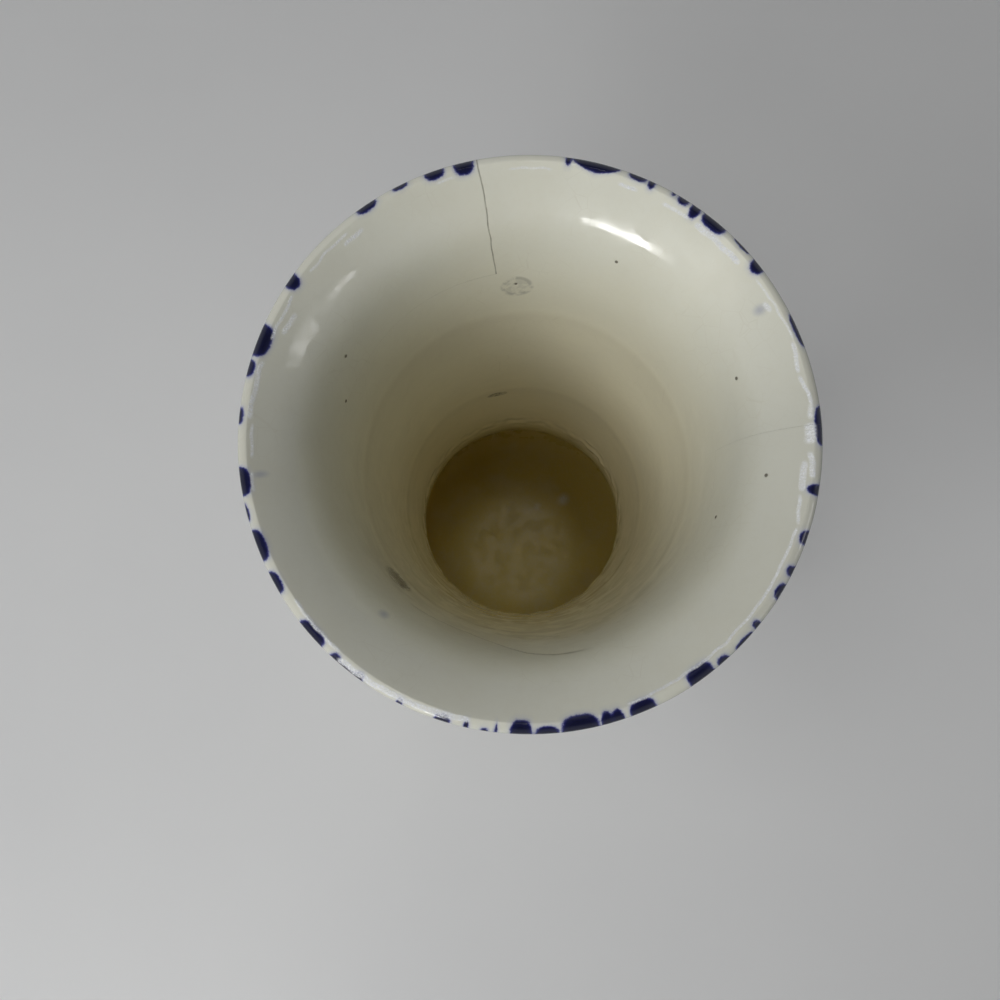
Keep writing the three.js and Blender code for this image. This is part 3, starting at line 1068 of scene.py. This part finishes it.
def ring_mark(point):
    """1 on the ring that a drop of water has left on the far wall, and more inside it"""
    if abs(lip_z - ring_depth - point.z / mm) > 2 * ring_radius:
        return 0.0
    across, down = wall_distance(point, ring_azimuth, ring_depth)
    return max(0.0, 2 - math.hypot(across, down) / ring_radius)


def mouth_dirt(point):
    """A patch of dirt that sticks to the near wall on the left"""
    if abs(lip_z - dirt_depth - point.z / mm) > 12:
        return 0.0
    across, down = wall_distance(point, dirt_azimuth, dirt_depth)
    return 1.3 * clamp(1.2 - math.hypot(across / dirt_half_width, down / dirt_half_height))


def painted_side_shade_at(point):
    """How much painted shade greys the glaze inside the rim and on the lip, by azimuth and depth,
    less so on the far right
    """
    depth = max(0, lip_z - point.z / mm)
    side = 0.0 if depth and throat_side(point) else 1.0
    around = line_at(side_shade_by_azimuth, azimuth_of(point.x, point.y))
    return side * around * clamp(1 - (depth - side_shade_depth) / side_shade_fade)


def mouth_smudge(point):
    """A grey touch on the near wall and two blue ones, where a finger smeared a dab"""
    if point.z / mm < lip_z - 14:
        return 0.0
    across, down = wall_distance(point, grey_azimuth, grey_depth)
    most = clamp(1.3 - math.hypot(across, down) / 1.5)
    angle, inset = rim_place(point)
    for middle, half, depth, reach in blue_smudges:
        off = (angle - middle) * math.radians(lip_radius)
        most = max(most, clamp(1.3 - math.hypot(off / half, (inset - depth) / reach)))
    return most


def clear_then_dabbed(point):
    """Outside, the pattern of dabs fades in below a clear band under the lip"""
    if point.z / mm > lip_z - clear_band or not throat_side(point):
        return 0.0
    return clamp((lip_z - clear_band - point.z / mm) / (dabs_from - clear_band))


def on_wall(azimuth, depth):
    """Place on the inside wall at an azimuth and a depth below the lip"""
    z = lip_z - depth
    turn = math.radians(azimuth)
    radius = throat_bore(z)
    return out_of_true(Vector((radius * math.cos(turn), radius * math.sin(turn), z)) * mm)


def lip_over(turn):
    """Outer half of the lip, from its edge up to the crest"""
    return crest_radius + crest_inset * math.cos(turn), lip_z + lip_crown * math.sin(turn)


def lip_under(t):
    """Inner half of the lip, which rolls off the crest into the flare of the rim"""
    crest = (crest_radius, lip_z + lip_crown)
    knee = (lip_inner[0] + lip_flare * (crest[1] - lip_inner[1]), crest[1])
    return tuple(mix(mix(a, b, t), mix(b, c, t), t) for a, b, c in zip(crest, knee, lip_inner))


mouth = turned('mouth_trumpet', [
    *skirt(collar_top_z),
    *along(throat_outside, mouth_z, lip_z - 8, 13),
    *along(throat_outside, lip_z - 8, lip_z, 14)[1:],
    *(lip_over(math.pi * i / 18) for i in range(1, 10)),
    *(lip_under(i / 14) for i in range(1, 14)),
    *along(throat_bore, lip_inner[1], lip_z - 8, 22),
    *along(throat_bore, lip_z - 8, lip_z - 34, 34)[1:],
    *along(throat_bore, lip_z - 34, mouth_z, 20)[1:],
], steps=mouth_steps)
settle(mouth, thrown_inside)
paint(mouth, 'outside', clear_then_dabbed)
paint(mouth, 'pooled', seam_pooled)
paint(mouth, 'cobalt', cobalt)
# Wear along the crest, with painted highlights
paint(mouth, 'wear_and_glints', crest_rub_and_glint)
paint(mouth, 'crack', crack_offset)
paint(mouth, 'ring_mark', ring_mark)
paint(mouth, 'dirt', mouth_dirt)
paint(mouth, 'smudge', mouth_smudge)
# Painted shade inside the rim
paint(mouth, 'painted_side_shade', painted_side_shade_at)
mouth.data.materials.append(glaze('lip_glaze', pits=[on_wall(*place) for place in pinholes]))
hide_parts('mouth')
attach(mouth, 'root')


# Table
# The plain pale top that the vase stands on, in a room with pale walls and a darker ceiling.
# Broad soft lamps light it from the near left, the far side and overhead. Panes on the right,
# at the near left and overhead only show as gleams on the glaze.
table_side = 3.0
table_clouds = 260
bm = bmesh.new()
bmesh.ops.create_grid(bm, x_segments=1, y_segments=1, size=table_side)
table_mesh = bpy.data.meshes.new('table_top')
bm.to_mesh(table_mesh)
bm.free()
table = bpy.data.objects.new('table_top', table_mesh)
bpy.context.collection.objects.link(table)
table_paint, tree, shader, place = new_material('table_paint')
table_colour = blend(tree, grain(tree, place, table_clouds, 3), rgb(0.80, 0.805, 0.81),
                     rgb(0.88, 0.885, 0.88))
tree.links.new(table_colour, shader.inputs['Base Color'])
shader.inputs['Roughness'].default_value = 0.5
table.data.materials.append(table_paint)


def seen_directly(tree):
    """1 where the camera, a mirror image or clear glass shows a thing, 0 where it gives light"""
    path = node(tree, 'LightPath').outputs
    return calc(tree, 'MAXIMUM', path['Is Camera Ray'],
                calc(tree, 'MAXIMUM', path['Is Glossy Ray'], path['Is Transmission Ray']))


room_light = 0.035
backdrop_light = 0.46
ceiling_light = 0.10
wall_top, ceiling_edge = 0.45, 0.8
backdrop_colour = rgb(0.93, 0.96, 1.0)
fade_from, fade_to = 0.5, 1.4
away = node(tree, 'VectorMath', place, operation='LENGTH').outputs['Value']
faded = calc(tree, 'MULTIPLY', span(tree, away, fade_from, fade_to), seen_directly(tree))
haze = node(tree, 'Emission')
haze.inputs['Color'].default_value = backdrop_colour
haze.inputs['Strength'].default_value = backdrop_light
top = node(tree, 'MixShader', faded, shader.outputs[0], haze.outputs[0])
tree.links.new(top.outputs[0], tree.nodes['Material Output'].inputs['Surface'])

world = bpy.data.worlds.new('studio')
world.use_nodes = True
tree = world.node_tree
room = tree.nodes['Background']
room.inputs['Color'].default_value = rgb(1, 1, 1)
room.inputs['Strength'].default_value = room_light
backdrop = node(tree, 'Background')
backdrop.inputs['Color'].default_value = backdrop_colour
up = node(tree, 'SeparateXYZ', node(tree, 'TexCoord').outputs['Generated']).outputs[2]
by_height = span(tree, up, wall_top, ceiling_edge, backdrop_light, ceiling_light)
tree.links.new(by_height, backdrop.inputs['Strength'])
shown = node(tree, 'MixShader', seen_directly(tree), room.outputs[0], backdrop.outputs[0])
tree.links.new(shown.outputs[0], tree.nodes['World Output'].inputs['Surface'])
bpy.context.scene.world = world

lamp_away, pane_away = 1.6, 1.5
broad = (0.7, 0.5)


def lamp(name, azimuth, elevation, distance, size, watts, lights=True, gleams=False):
    """An area lamp that faces the mouth of the vase, which lights it, gleams on it or both"""
    light = bpy.data.lights.new(name, 'AREA')
    light.shape = 'RECTANGLE'
    light.size, light.size_y = size
    light.energy = watts
    holder = bpy.data.objects.new(name, light)
    turn, rise = math.radians(azimuth), math.radians(elevation)
    towards = Vector((math.cos(turn) * math.cos(rise), math.sin(turn) * math.cos(rise),
                      math.sin(rise)))
    holder.location = Vector((0, 0, lip_z * mm)) + towards * distance
    holder.rotation_euler = towards.to_track_quat('Z', 'Y').to_euler()
    holder.visible_diffuse = lights
    holder.visible_glossy = gleams
    bpy.context.collection.objects.link(holder)


lamp('key_lamp', 210, 38, lamp_away, broad, 5.4)
lamp('near_lamp', 240, 38, lamp_away, broad, 2.4)
lamp('low_lamp', 250, 20, lamp_away, broad, 2.9)
lamp('left_lamp', 180, 62, lamp_away, broad, 4.1)
lamp('high_lamp', 240, 62, lamp_away, broad, 2.6)
lamp('far_lamp', 90, 20, lamp_away, broad, 1.0)
lamp('top_lamp', 90, 86, lamp_away, (0.5, 0.5), 2.5)
lamp('ring_gleam', 90, 86, lamp_away, (0.16, 0.16), 3.2, lights=False, gleams=True)
lamp('gleam_lamp', 238, 20, pane_away, (0.58, 0.26), 9.5, lights=False, gleams=True)
lamp('near_pane', -6, 27, pane_away, (0.26, 0.30), 0.8, lights=False, gleams=True)
lamp('far_pane', -24, 29, pane_away, (0.18, 0.14), 0.3, lights=False, gleams=True)


# Camera
# It looks down into the vase from above its near side, at the angle of the photograph.
sensor = 36.0
camera_data = bpy.data.cameras.new('camera')
camera_data.sensor_width = sensor
camera_data.lens = sensor * focal_pixels / frame_pixels
camera_data.clip_start = 0.01
camera = bpy.data.objects.new('camera', camera_data)
camera.location = eye
camera.rotation_euler = eye_turn
bpy.context.collection.objects.link(camera)
bpy.context.scene.camera = camera
bpy.context.scene.view_settings.view_transform = 'Standard'
